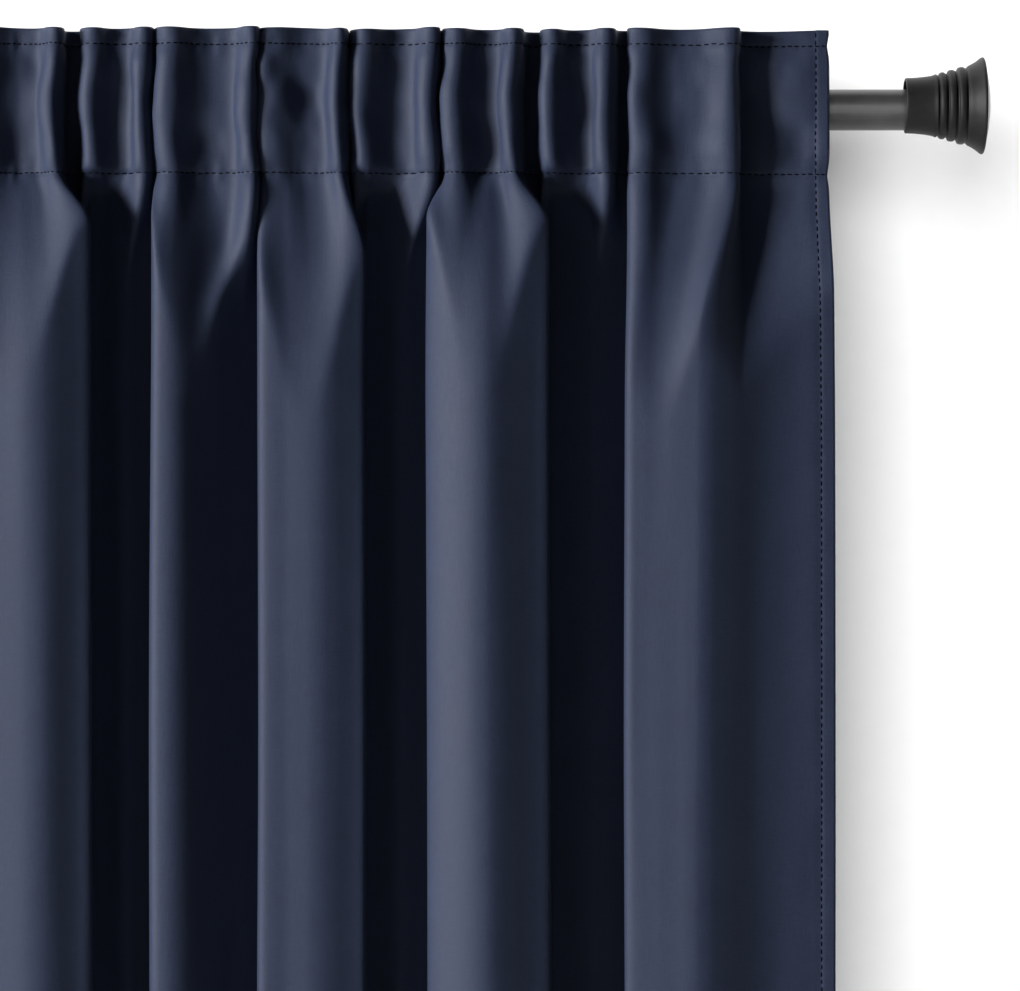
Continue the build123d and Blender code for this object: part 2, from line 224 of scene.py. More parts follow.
def metal_material(name, base, edge, rough, metallic, grain_axis=None, spec=0.5, coat=0.0, speck=0.0):
    """Lacquered or bare metal: fine grain along one axis, cloudy wear, small specks."""
    m, nt, bs = node_mat(name)
    tc = add(nt, "ShaderNodeTexCoord")
    mp = add(nt, "ShaderNodeMapping")
    sc = {"x": (14.0, 900.0, 900.0), "z": (900.0, 900.0, 14.0), None: (300.0, 300.0, 300.0)}[grain_axis]
    mp.inputs["Scale"].default_value = sc
    nt.links.new(tc.outputs["Object"], mp.inputs[0])
    fine = add(nt, "ShaderNodeTexNoise", Scale=1.0, Detail=3.0, Roughness=0.6)
    nt.links.new(mp.outputs[0], fine.inputs["Vector"])
    cloud = add(nt, "ShaderNodeTexNoise", Scale=55.0, Detail=4.0, Roughness=0.6)
    nt.links.new(tc.outputs["Object"], cloud.inputs["Vector"])
    spk = add(nt, "ShaderNodeTexNoise", Scale=1700.0, Detail=1.0)
    nt.links.new(tc.outputs["Object"], spk.inputs["Vector"])
    f = math_node(nt, "ADD", math_node(nt, "MULTIPLY", fine.outputs[0], 0.5), math_node(nt, "MULTIPLY", cloud.outputs[0], 0.5))
    if speck:
        f = math_node(nt, "ADD", f, math_node(nt, "MULTIPLY", math_node(nt, "SUBTRACT", spk.outputs[0], 0.5), speck))
    nt.links.new(ramp(nt, f, [(0.35, base), (0.68, edge)]), bs.inputs["Base Color"])
    r = math_node(nt, "ADD", math_node(nt, "MULTIPLY", math_node(nt, "SUBTRACT", cloud.outputs[0], 0.5), 0.14), rough)
    r = math_node(nt, "ADD", r, math_node(nt, "MULTIPLY", math_node(nt, "SUBTRACT", fine.outputs[0], 0.5), 0.10))
    nt.links.new(r, bs.inputs["Roughness"])
    bs.inputs["Metallic"].default_value = metallic
    bs.inputs["Specular IOR Level"].default_value = spec
    bs.inputs["Coat Weight"].default_value = coat
    bs.inputs["Coat Roughness"].default_value = 0.28
    bump = add(nt, "ShaderNodeBump", Strength=0.25, Distance=0.00008)
    nt.links.new(f, bump.inputs["Height"])
    nt.links.new(bump.outputs[0], bs.inputs["Normal"])
    return m


NAVY = cloth_material("navy_satin_face", (0.0232, 0.0335, 0.0700), (0.0188, 0.0272, 0.0585), (0.0282, 0.0402, 0.0815), 0.60, 0.05)
NAVY_TAB = cloth_material("navy_tab_cloth", (0.0205, 0.0275, 0.0600), (0.0165, 0.0220, 0.0490), (0.0250, 0.0330, 0.0710), 0.66, 0.03)
THREAD = thread_material()
TUBE = metal_material("gunmetal_lacquer", (0.052, 0.052, 0.053), (0.078, 0.078, 0.080), 0.38, 0.60, "x", 0.5, 0.05, 0.10)
BLACK = metal_material("black_satin_enamel", (0.010, 0.010, 0.010), (0.018, 0.018, 0.019), 0.52, 0.0, None, 0.22, 0.0, 0.12)
CAP = metal_material("satin_grey_cap", (0.26, 0.26, 0.26), (0.34, 0.34, 0.34), 0.45, 0.35, "z", 0.45, 0.0, 0.10)
BRACKET = metal_material("bracket_powder_coat", (0.016, 0.016, 0.017), (0.030, 0.030, 0.032), 0.48, 0.0, None, 0.45, 0.0, 0.30)
SCREW = metal_material("blackened_screw", (0.10, 0.10, 0.105), (0.19, 0.19, 0.20), 0.34, 0.9, None, 0.5, 0.0, 0.15)

# ----------------------------------------------------- fold tables (plan view)
# Right to left, outer edge to leading edge: (table position, mm in front of
# the rod axis). H is the header between its stitch rows, D the hanging folds.
# Each pair of pieces covers the same stretch of cloth.
H = [
    [(828, 20.5), (810, 21), (790, 20.6), (770, 20), (755, 19.4), (741, 19.8)],
    [(741, 19.8), (739.6, 23), (739.5, 28), (739, 32), (737.4, 34.6), (733, 35.8)],
    [(733, 35.8), (726, 35.4), (717, 33.2), (708.5, 30.4), (700, 28.4), (691, 27.6), (681, 27.5), (671, 28.2), (663, 30.2), (656, 33), (649, 35.4), (641, 36.4), (634, 35.6), (629.5, 33.2), (628, 29)],
    [(628, 29), (629.5, 24.5), (634, 21.5), (640, 19.8), (641, 18.6), (634, 18.4)],
    [(634, 18.4), (625, 18.8), (619, 21), (616, 26), (615, 31.5), (613, 36), (608.5, 38.6)],
    [(608.5, 38.6), (602, 38.6), (597.5, 36.6), (595, 34), (593, 31.6), (589, 30), (582, 29.2), (574, 29.6), (567.5, 31.8), (562.5, 35.2), (557.5, 38.8), (552, 40.6), (547, 39.8)],
    [(547, 39.8), (543, 36.8), (541, 32), (541, 27), (543.5, 22.5), (547, 19.8), (546, 18.4), (541, 18.4)],
    [(541, 18.4), (533, 18.6), (527, 20.5), (524, 25), (523, 31), (522, 36.5), (519.5, 41), (515, 43.5)],
    [(515, 43.5), (510, 43.8), (506, 42), (503.5, 39.5), (502.3, 36.5), (500, 34), (495, 32.4), (487.5, 31.6), (479.5, 32), (472.5, 34.4), (467, 38), (461.5, 41.2), (455, 42.2), (448.5, 40.5), (444.5, 37), (443, 32.5)],
    [(443, 32.5), (444, 27), (447.5, 22), (448, 18.9), (443, 18.4), (440, 18.6)],
    [(440, 18.6), (439.5, 23), (439, 29), (438.8, 35), (437, 39.4), (433, 41.4)],
    [(433, 41.4), (427, 41), (422, 38.6), (419, 35.4), (417, 32.4), (412.5, 30.2), (405, 29), (396, 28.8), (388, 30.2), (381.5, 33), (375, 36.8), (368, 39.3), (361.5, 39.8), (356, 37.8)],
    [(356, 37.8), (352, 34.5), (350.5, 30), (351, 25.5), (353.5, 21.5), (355, 19.2), (351, 18.4), (348.5, 18.6)],
    [(348.5, 18.6), (348, 24), (347.5, 30), (346.5, 36), (343.5, 41), (339, 43.5)],
    [(339, 43.5), (334.5, 42.5), (331, 39), (328.5, 35.5), (324, 33), (316, 31.6), (306, 31.8), (296, 33.6), (286, 36.2), (276, 38.4), (267.5, 38.9), (262, 38), (259.4, 35.8), (259, 31.5)],
    [(259, 31.5), (260, 25.5), (263, 21), (264, 18.6), (260, 18.4)],
    [(260, 18.4), (258.6, 20.5), (258.3, 26), (258, 32), (257.3, 38), (255, 42), (251, 43.4)],
    [(251, 43.4), (246, 42.8), (242, 40.8), (239.2, 37.8), (237.2, 34.8), (234, 32.9), (227.5, 31.8), (217, 31.4), (206, 31.6), (196.5, 33), (188.5, 35.4), (181.5, 38.6), (175, 41.2), (167, 41.8), (161, 40), (157, 36.5), (155.5, 32)],
    [(155.5, 32), (157, 26.5), (160.5, 22), (162, 18.9), (158, 18.4), (155, 18.6)],
    [(155, 18.6), (154.5, 22), (154, 27.5), (152.5, 33), (149, 37.5), (144, 39.8)],
    [(144, 39.8), (139, 39.4), (135.5, 37), (133.8, 34), (131.8, 31.8), (127.4, 30.3), (120, 29.7), (112, 30.4), (106, 32.8), (101, 36.2), (96, 38.8), (89.5, 39.3), (85.5, 38)],
    [(85.5, 38), (82, 34.5), (80.5, 29.5), (81.5, 24.5), (84, 21), (84.5, 18.9), (80, 18.4), (76, 18.6)],
    [(76, 18.6), (70, 19), (65.5, 21.5), (64, 26), (63.5, 31.5), (62.5, 37), (59.5, 41), (55, 43.5)],
    [(55, 43.5), (50, 43), (46.2, 40.8), (44, 37.8), (42, 34.8), (38.6, 32.8), (31.5, 31.8), (20, 31.9), (8.5, 33.4), (-0.5, 36), (-8, 38.8), (-14, 40.3), (-20, 40.3), (-24, 37.5), (-25, 33)],
    [(-25, 33), (-23, 26), (-18.5, 21), (-18, 18.6), (-24, 18.4), (-29, 18.8)],
    [(-29, 18.8), (-31, 22), (-31.5, 28), (-33, 34), (-37, 38.5), (-42, 40.5)],
    [(-42, 40.5), (-47, 39.5), (-51, 36), (-52.5, 31.5), (-50, 27), (-50, 24), (-58, 22.5), (-70, 24), (-80, 28), (-87, 33), (-92, 37), (-98, 39)],
    [(-98, 39), (-102, 36.5), (-105, 31.5), (-105, 25.5), (-102, 21.5), (-102, 18.8), (-107, 18.4), (-112, 18.6)],
    [(-112, 18.6), (-118, 19), (-122, 22), (-123, 28), (-124, 34.5), (-127, 40), (-132, 43)],
    [(-132, 43), (-138, 42.5), (-142.5, 39.5), (-144.5, 35), (-143, 30), (-143, 26.5), (-149, 24.8), (-160, 26), (-171, 29.5), (-180, 34), (-187, 38.5), (-194, 40.5), (-200, 39), (-203.5, 35), (-204, 31)],
    [(-204, 31), (-202, 25), (-198, 20.5), (-198, 18.6), (-204, 18.4), (-208, 18.8)],
    [(-208, 18.8), (-211, 22), (-212, 28), (-214, 34), (-218, 39), (-224, 41)],
    [(-224, 41), (-230, 39.5), (-233, 35), (-232.5, 30), (-229, 26), (-231, 23), (-238, 22.5), (-248, 25), (-256, 28.5), (-263, 33), (-269, 37), (-275, 38.5)],
    [(-275, 38.5), (-280, 36), (-283, 31), (-283, 25.5), (-280, 21.5), (-281, 18.8), (-286, 18.4), (-292, 18.6)],
    [(-292, 18.6), (-302, 18.8), (-313, 20), (-323, 22), (-332, 24)],
]
D = [
    [(833, 38), (815, 38.8), (800, 39.8), (785, 41.2), (770, 43.4), (757, 46), (742, 49.8)],
    [(742, 49.8), (730, 52.8), (720, 55), (711, 56.7), (700, 57.5)],
    [(700, 57.5), (690, 57), (678, 55.9), (665, 54.6), (650, 53.2), (640, 52.3), (633, 51.4), (629, 50), (627, 47.5), (626.5, 43.5)],
    [(626.5, 43.5), (629, 35), (635, 27), (641, 22), (642, 19), (636, 18.4)],
    [(636, 18.4), (628, 18.4), (618, 19), (608, 20), (600, 20.5)],
    [(600, 20.5), (594, 21), (588, 20.5), (580, 19.5), (572, 19), (564, 19), (558, 19.5), (553, 21)],
    [(553, 21), (547, 21), (541, 23), (537, 28)],
    [(537, 28), (535, 35), (537, 43), (542, 48.5), (547, 51.5), (549.5, 53.5), (546, 55)],
    [(546, 55), (535, 57.3), (522, 60.2), (509, 63.1), (496, 65.8), (488, 66.8), (480, 66.6), (472, 65.6), (463, 63.6), (454, 60.8), (445, 57.2), (437, 53), (430.5, 48.5), (427, 44.5)],
    [(427, 44.5), (428, 39), (433, 32), (440, 25), (443, 20), (437, 18.4)],
    [(437, 18.4), (430, 18.4), (422, 18.8), (414, 19.8), (408, 21)],
    [(408, 21), (402, 21.5), (396, 21), (390, 19.8), (384, 19), (378, 18.8), (372, 19.2), (368, 21)],
    [(368, 21), (362, 20.5), (356, 22), (352, 26)],
    [(352, 26), (350, 33), (353, 39), (358, 43.5), (364, 46), (366.5, 47.3), (363, 48.7)],
    [(363, 48.7), (355, 50.2), (345, 52.2), (335, 54.2), (324, 55.6), (312, 55.8), (300, 55), (286, 53.9), (274, 53.5), (266, 53), (260.8, 51.8), (258.7, 49.5), (258, 45.5)],
    [(258, 45.5), (260, 40), (265, 34), (271, 30)],
    [(271, 30), (275, 27), (272, 24.5), (264, 24.5), (254, 26.5), (244, 29)],
    [(244, 29), (232, 33), (220, 38.5), (208, 44), (196, 49.5), (186, 53.5), (178, 55.6), (171, 56.5), (164, 56.5), (158, 55.8), (154.2, 54), (152.4, 50.5), (152, 45)],
    [(152, 45), (152.5, 37), (155, 30), (162, 25), (166, 20.5), (160, 18.4)],
    [(160, 18.4), (152, 18.4), (144, 18.8), (136, 19.8), (130, 21)],
    [(130, 21), (125, 21.5), (119, 21), (113, 20), (107, 19.2), (101, 19), (96, 19.5), (92, 21)],
    [(92, 21), (86, 21), (80, 23), (76, 27)],
    [(76, 27), (74, 35), (77, 42.5), (83, 48), (89, 51), (90.5, 53), (87, 54.5)],
    [(87, 54.5), (75, 57), (64, 59.5), (54, 61.8), (44, 63.5), (34, 64), (24, 63.6), (14, 62.4), (4, 60.9), (-6, 59.4), (-16, 57.6), (-27, 54.8), (-37, 50.6), (-43.5, 45.5), (-46, 40)],
    [(-46, 40), (-44, 35), (-38, 30), (-31, 25), (-28, 20.5), (-34, 18.4)],
    [(-34, 18.4), (-42, 18.4), (-50, 18.8), (-58, 20), (-64, 21)],
    [(-64, 21), (-70, 21.3), (-76, 20.5), (-83, 19.3), (-90, 19), (-96, 19.3), (-101, 21)],
    [(-101, 21), (-107, 21), (-113, 23), (-117, 27)],
    [(-117, 27), (-119, 34), (-117, 41), (-112, 47), (-107, 50.5), (-107, 53), (-110, 55)],
    [(-110, 55), (-121, 57.5), (-134, 60), (-149, 61.5), (-163, 61), (-176, 58.5), (-188, 54.5), (-198, 49.5), (-204, 44.5), (-205, 40)],
    [(-205, 40), (-203, 34), (-198, 28), (-192, 23.5), (-191, 19.8), (-197, 18.4)],
    [(-197, 18.4), (-205, 18.4), (-213, 18.8), (-220, 20), (-226, 21)],
    [(-226, 21), (-232, 21), (-239, 20), (-246, 19.2), (-253, 19), (-259, 20), (-264, 22.5)],
    [(-264, 22.5), (-268, 27), (-270, 33), (-273, 39)],
    [(-273, 39), (-279, 45.5), (-288, 49), (-299, 48.5), (-310, 44), (-320, 38.5), (-328, 33)],
]
EDGE, BASE, PEAK, LEFT, REAR, RRIGHT, RLEFT = (172, 300), (172, 400), (168, 224), (174, 218), (172, 240), (164, 272), (163, 192)
KEYS = [EDGE, BASE, (172, 350), (176, 390), (172, 260), RRIGHT, RLEFT, REAR, PEAK, LEFT, REAR, RRIGHT, RLEFT, REAR, (168, 262), (174, 270), REAR,
        (176, 330), LEFT, REAR, RRIGHT, RLEFT, REAR, PEAK, LEFT, REAR, RRIGHT, RLEFT, REAR, PEAK, LEFT, REAR, RRIGHT, RLEFT, REAR, EDGE]
# middle of a fold's face: where its header dent has smoothed out, and how fast at first
MIDDLE = {2: (430, 0.35), 8: (400, 0.95), 14: (430, 0.6), 17: (380, 0.85), 23: (400, 0.85), 29: (400, 0.9)}
assert len(H) == len(D) == len(KEYS) - 1


def spline_pieces(pieces, per=10):
    """Centripetal Catmull-Rom through every point of the chained pieces."""
    pts, cuts = [pieces[0][0]], [0]
    for p in pieces:
        pts += p[1:]
        cuts.append(len(pts) - 1)
    P = np.array(pts, float) * np.array([0.61, 1.0])
    Q = np.vstack([2 * P[0] - P[1], P, 2 * P[-1] - P[-2]])
    dense, marks = [P[0]], [0]
    for i in range(1, len(Q) - 2):
        p0, p1, p2, p3 = Q[i - 1:i + 3]
        t0 = 0.0
        t1 = t0 + max(np.linalg.norm(p1 - p0), 1e-6) ** 0.5
        t2 = t1 + max(np.linalg.norm(p2 - p1), 1e-6) ** 0.5
        t3 = t2 + max(np.linalg.norm(p3 - p2), 1e-6) ** 0.5
        for t in np.linspace(t1, t2, per + 1)[1:]:
            a1 = (t1 - t) / (t1 - t0) * p0 + (t - t0) / (t1 - t0) * p1
            a2 = (t2 - t) / (t2 - t1) * p1 + (t - t1) / (t2 - t1) * p2
            a3 = (t3 - t) / (t3 - t2) * p2 + (t - t2) / (t3 - t2) * p3
            b1 = (t2 - t) / (t2 - t0) * a1 + (t - t0) / (t2 - t0) * a2
            b2 = (t3 - t) / (t3 - t1) * a2 + (t - t1) / (t3 - t1) * a3
            dense.append((t2 - t) / (t2 - t1) * b1 + (t - t1) / (t2 - t1) * b2)
        marks.append(len(dense) - 1)
    dense = np.array(dense)
    return [dense[marks[a]:marks[b] + 1] for a, b in zip(cuts[:-1], cuts[1:])]


def lengths(piece):
    return np.r_[0, np.cumsum(np.linalg.norm(np.diff(piece, axis=0), axis=1))]


def resample(piece, fr):
    L = lengths(piece)
    t = np.asarray(fr) * L[-1]
    return np.c_[np.interp(t, L, piece[:, 0]), np.interp(t, L, piece[:, 1])]


def fold_columns(spacing):
    """Matched header and drape curves: (columns, 2) each, with the cloth
    coordinate s in metres and the key weights of every column."""
    hp, dp = spline_pieces(H), spline_pieces(D)
    hl = np.array([lengths(p)[-1] for p in hp])
    dl = np.array([lengths(p)[-1] for p in dp])
    mean = 0.5 * (hl + dl)
    scale = FLAT_W * 1000 / mean.sum()
    hc, dc, s, y0, y1, ease, swing, lean = [], [], [], [], [], [], [], []
    run = 0.0
    for k in range(len(hp)):
        n = max(4, int(round(mean[k] * scale / spacing)))
        fr = np.linspace(0, 1, n + 1)
        if k == 0:
            first = np.array([0, 1.2, 3.5, 6.0, 7.6, 8.5, 9.4, 11.0]) / (mean[k] * scale)
            fr = np.r_[first, fr[fr > first[-1] + 0.03]]
        if k == len(hp) - 1:
            last = 1 - np.array([0, 1.2, 3.5, 6.0, 7.6, 8.5, 9.4, 11.0])[::-1] / (mean[k] * scale)
            fr = np.r_[fr[fr < last[0] - 0.03], last]
        if k:
            fr = fr[1:]
        hc.append(resample(hp[k], fr))
        dc.append(resample(dp[k], fr))
        s.append(run + fr * mean[k] * scale)
        a, b = KEYS[k], KEYS[k + 1]
        low, fast = MIDDLE.get(k, (0, 0))
        mid = np.sin(np.pi * fr) ** 1.7 if low else np.zeros(len(fr))
        # the strip behind drops straight under its stitches, only its right roll runs on
        go = smooth(0.0, 0.3, fr) if k in (5, 11, 20, 26, 32) else fr
        base = a[1] + (b[1] - a[1]) * go
        y0.append(a[0] + (b[0] - a[0]) * go)
        y1.append(base + (low - base) * mid if low else base)
        ease.append(fast * mid)
        # the second fold from the left swings out before it sinks away to the right
        swing.append({17: fr, 16: (fr - 1) * 0.35}.get(k, np.full(len(fr), 9.0)))
        lean.append({17: smooth(0.45, 1.0, fr), 18: smooth(1.0, 0.4, fr)}.get(k, np.zeros(len(fr))))
        run += mean[k] * scale
    cat = np.concatenate
    return np.vstack(hc), np.vstack(dc), cat(s) / 1000, cat(y0), cat(y1), cat(ease), cat(swing), cat(lean)


def gauss_rows(a, s, sigma):
    """Smooths a curve along s (uneven spacing) with a Gaussian of sigma."""
    w = np.exp(-0.5 * ((s[:, None] - s[None, :]) / sigma) ** 2)
    step = np.gradient(s)
    w = w * step[None, :]
    w /= w.sum(1, keepdims=True)
    return w @ a


def z_rows():
    z = [TOP_Z]

    def run(to, step):
        a = z[-1]
        n = max(1, int(round((a - to) / step)))
        for i in range(1, n + 1):
            z.append(a + (to - a) * i / n)

    run(UP_STITCH + 0.003, 0.0016)
    run(UP_STITCH - 0.003, 0.0009)
    run(LOW_STITCH + 0.004, 0.0030)
    run(LOW_STITCH - 0.004, 0.0010)
    run(-0.110, 0.0030)
    run(-0.30, 0.0075)
    run(-0.80, 0.014)
    run(HEM_STITCH + 0.004, 0.020)
    run(HEM_STITCH - 0.004, 0.0013)
    run(LOW_Z + 0.004, 0.012)
    run(LOW_Z, 0.0013)
    return np.array(z)


def to_unit(z):
    """Height to the tables' vertical unit (down the view)."""
    return 495.5 - (z - EYE[2]) / 0.6112e-3


class Panel:
    def __init__(self, side, spacing=2.0, seed=3):
        self.side, self.seed = side, seed
        hc, dc, s, y0, y1, ease, swing, lean = fold_columns(spacing)
        z = z_rows()
        v = to_unit(z)
        nz, ns = len(z), len(s)
        hs = gauss_rows(hc, s, 0.0040)
        # header, pinched at both stitch rows and swelling between them
        k_up = np.exp(-((v - 43) / 9.0) ** 2)
        k_lo = np.exp(-((v - 172) / 9.5) ** 2)
        k = np.clip(0.50 * k_up + 0.42 * k_lo, 0, 1)[:, None, None]
        head = hc[None] * (1 - k) + hs[None] * k
        bow = np.clip(np.sin(np.pi * np.clip((v - 43) / 129.0, 0, 1)), 0, 1)[:, None]
        crest = smooth(30, 41, hc[:, 1])[None]
        head = head.copy()
        head[..., 0] += -3.0 * 0.61 * bow * crest + 0.9 * crest * (1 - bow)
        head[..., 1] = 18.4 + (head[..., 1] - 18.4) * (1 - 0.10 * k[..., 0]) + 0.8 * bow * crest
        # drape, drifting slowly on its way down
        drop = dc[None] * np.ones((nz, 1, 1))
        vv, ss = np.meshgrid(z, s, indexing="ij")
        low = smooth(200, 420, v)[:, None]
        drop[..., 0] += low * (1.3 * noise2(ss / 0.16 + 7, vv / 0.55, seed) + 0.6 * noise2(ss / 0.07, vv / 0.30 + 3, seed + 1))
        drop[..., 1] += low * smooth(19, 34, dc[:, 1])[None] * (2.2 * noise2(ss / 0.11, vv / 0.70 + 5, seed + 2) + 0.8 * noise2(ss / 0.05, vv / 0.25, seed + 3))
        t = np.clip((v[:, None] - y0[None, :]) / (y1 - y0)[None, :], 0, 1)
        w = ((1 - ease)[None, :] * t * t * (3 - 2 * t) + ease[None, :] * (1 - (1 - t) ** 2.5))[..., None]
        c = head * (1 - w) + drop * w
        crest_at = np.interp(v, [172, 240, 300, 350, 400], [0.0, 0.03, 0.22, 0.34, 0.42])
        rise = np.interp(v, [172, 200, 240, 300, 350, 410], [0, 4.5, 8, 7, 3, 0])
        c[..., 1] += rise[:, None] * np.exp(-((swing[None, :] - crest_at[:, None]) / 0.17) ** 2)
        c[..., 0] -= 3.6 * 0.61 * lean[None, :] * smooth(260, 950, v)[:, None]
        c[..., 0] += 2.0 * 0.61 * smooth(0.06, 0.0, s)[None, :] * smooth(300, 900, v)[:, None]
        c[..., 1] = np.maximum(c[..., 1], 18.3)
        x = EYE[0] + (c[..., 0] / 0.61 - 510.0) * U * (2.545 - c[..., 1] * 1e-3) / 2.5
        y = ROD_Y - c[..., 1] * 1e-3
        if side == "left":
            x = -(x + 0.009 * np.sin(x / 0.097 + 0.7))
            y = ROD_Y - 1e-3 * (18.4 + (c[..., 1] - 18.4) * (1 + 0.1 * np.sin(x / 0.061)))
        zz = vv + smooth(0.055, 0.0702, vv) * 0.0008 * noise2(ss / 0.04, ss * 0, seed + 4)
        zz = zz + (1 - smooth(LOW_Z, LOW_Z + 0.2, vv)) * 0.0008 * (noise2(ss / 0.10, ss * 0, seed + 5) + 1)
        P = np.stack([x, y, zz], -1)
        n = self.normals(P)
        # small relief: dents in the header, puckers by the seams, long soft ripples
        hd = smooth(0.060, 0.050, vv) * smooth(-0.017, -0.004, vv)
        rel = hd * (0.00150 * noise2(ss / 0.022, vv / 0.026, seed + 6) + 0.00060 * noise2(ss / 0.011 + 9, vv / 0.015, seed + 7))
        pk = np.exp(-((vv - UP_STITCH) / 0.006) ** 2) + np.exp(-((vv - LOW_STITCH) / 0.007) ** 2)
        rel += pk * (0.00040 * noise2(ss / 0.0068, ss * 0 + 2, seed + 8) + 0.00022 * noise2(ss / 0.0040, ss * 0 + 5, seed + 9))
        rel += smooth(-0.018, -0.03, vv) * np.exp((vv + 0.018) / 0.035) * 0.0010 * noise2(ss / 0.012, vv / 0.08, seed + 10)
        rel += smooth(-0.05, -0.15, vv) * (0.00045 * noise2(ss / 0.030, vv / 0.33, seed + 11) + 0.00018 * noise2(ss / 0.013, vv / 0.16, seed + 12))
        hem = np.exp(-((vv - HEM_STITCH) / 0.006) ** 2)
        rel += hem * 0.0003 * noise2(ss / 0.007, ss * 0 + 1, seed + 13)
        rel += (np.exp(-((ss - SIDE_HEM) / 0.004) ** 2) + np.exp(-((ss - (FLAT_W - SIDE_HEM)) / 0.004) ** 2)) * 0.00025 * noise2(vv / 0.009, ss * 0, seed + 14)
        # seams draw the cloth in
        rel -= 0.00050 * (np.exp(-((vv - UP_STITCH) / 0.0014) ** 2) + np.exp(-((vv - LOW_STITCH) / 0.0014) ** 2) + np.exp(-((vv - HEM_STITCH) / 0.0016) ** 2))
        rel -= 0.00030 * (np.exp(-((ss - SIDE_HEM) / 0.0011) ** 2) + np.exp(-((ss - (FLAT_W - SIDE_HEM)) / 0.0011) ** 2))
        P = P + n * rel[..., None]
        self.n = self.normals(P)
        self.P, self.s, self.z, self.v = P, s, z, v
        # doubled cloth in the header band and hems
        th = np.full((nz, ns), 0.00075)
        th += 0.0006 * smooth(LOW_STITCH - 0.0015, LOW_STITCH + 0.0015, vv)
        th += 0.0006 * (1 - smooth(HEM_STITCH - 0.0015, HEM_STITCH + 0.0015, vv))
        edge = np.minimum(ss, FLAT_W - ss)
        th += 0.0006 * (1 - smooth(SIDE_HEM - 0.0008, SIDE_HEM + 0.0008, edge))
        self.th = th

    def normals(self, P):
        du = np.gradient(P, axis=1)
        dv = np.gradient(P, axis=0)
        n = np.cross(dv, du)
        n /= np.maximum(np.linalg.norm(n, axis=-1, keepdims=True), 1e-12)
        # outward is towards the room
        if n[..., 1].mean() > 0:
            n = -n
        return n

    def mesh(self, name):
        nz, ns = self.P.shape[:2]
        F = self.P + self.n * (self.th / 2)[..., None]
        B = self.P - self.n * (self.th / 2)[..., None]
        verts = np.vstack([F.reshape(-1, 3), B.reshape(-1, 3)])
        idx = np.arange(nz * ns).reshape(nz, ns)
        off = nz * ns
        a, b, c, d = idx[:-1, :-1].ravel(), idx[:-1, 1:].ravel(), idx[1:, 1:].ravel(), idx[1:, :-1].ravel()
        front = np.c_[a, b, c, d]
        fn = np.cross(F[0, 1] - F[0, 0], F[1, 0] - F[0, 0])
        if fn @ self.n[0, 0] < 0:
            front = front[:, ::-1]
        back = front[:, ::-1] + off
        ring = np.r_[idx[0, :], idx[1:, -1], idx[-1, -2::-1], idx[-2:0:-1, 0]]
        nxt = np.roll(ring, -1)
        # rounded rim: one extra loop between the faces
        out = []
        for r in ring:
            j, i = divmod(r, ns)
            q = self.P[j, i].copy()
            away = np.zeros(3)
            if i == 0:
                away += self.P[j, 0] - self.P[j, 1]
            if i == ns - 1:
                away += self.P[j, -1] - self.P[j, -2]
            if j == 0:
                away += self.P[0, i] - self.P[1, i]
            if j == nz - 1:
                away += self.P[-1, i] - self.P[-2, i]
            out.append(q + away / max(np.linalg.norm(away), 1e-9) * self.th[j, i] * 0.42)
        base = len(verts)
        verts = np.vstack([verts, out])
        m = base + np.arange(len(ring))
        mn = np.roll(m, -1)
        rim = np.vstack([np.c_[ring, m, mn, nxt], np.c_[m, ring + off, nxt + off, mn]])
        test = np.cross(verts[rim[0][1]] - verts[rim[0][0]], verts[rim[0][3]] - verts[rim[0][0]])
        if test @ (verts[m[0]] - self.P[0, 0]) < 0:
            rim = rim[:, ::-1]
        faces = np.vstack([front, back, rim]).tolist()
        uu, zz = np.meshgrid(self.s, self.z)
        uv1 = np.c_[uu.ravel(), zz.ravel()]
        ringuv = uv1[ring]
        uvs = np.vstack([uv1, uv1, ringuv])
        ob = new_mesh(name, verts, faces, uvs)
        ob.data.materials.append(NAVY)
        return ob

    def at(self, s, z):
        """Point on the front face (half the thickness out from the mid surface) and normal at cloth place (s, z)."""
        i = np.clip(np.searchsorted(self.s, s) - 1, 0, len(self.s) - 2)
        j = np.clip(np.searchsorted(-self.z, -z) - 1, 0, len(self.z) - 2)
        fs = np.clip((s - self.s[i]) / (self.s[i + 1] - self.s[i]), 0, 1)
        fz = np.clip((self.z[j] - z) / (self.z[j] - self.z[j + 1]), 0, 1)

        def mixv(A):
            return (A[j, i] * (1 - fs) + A[j, i + 1] * fs) * (1 - fz) + (A[j + 1, i] * (1 - fs) + A[j + 1, i + 1] * fs) * fz

        p, n, t = mixv(self.P), mixv(self.n), mixv(self.th)
        return p + n * t / 2, n / max(np.linalg.norm(n), 1e-9)

    def stitches(self, name):
        """Every visible row of lock stitch as short sunk thread dashes."""
        rng = np.random.default_rng(self.seed + 40)
        verts, faces = [], []
        pitch, dash, r = 0.0046, 0.0030, 0.00042

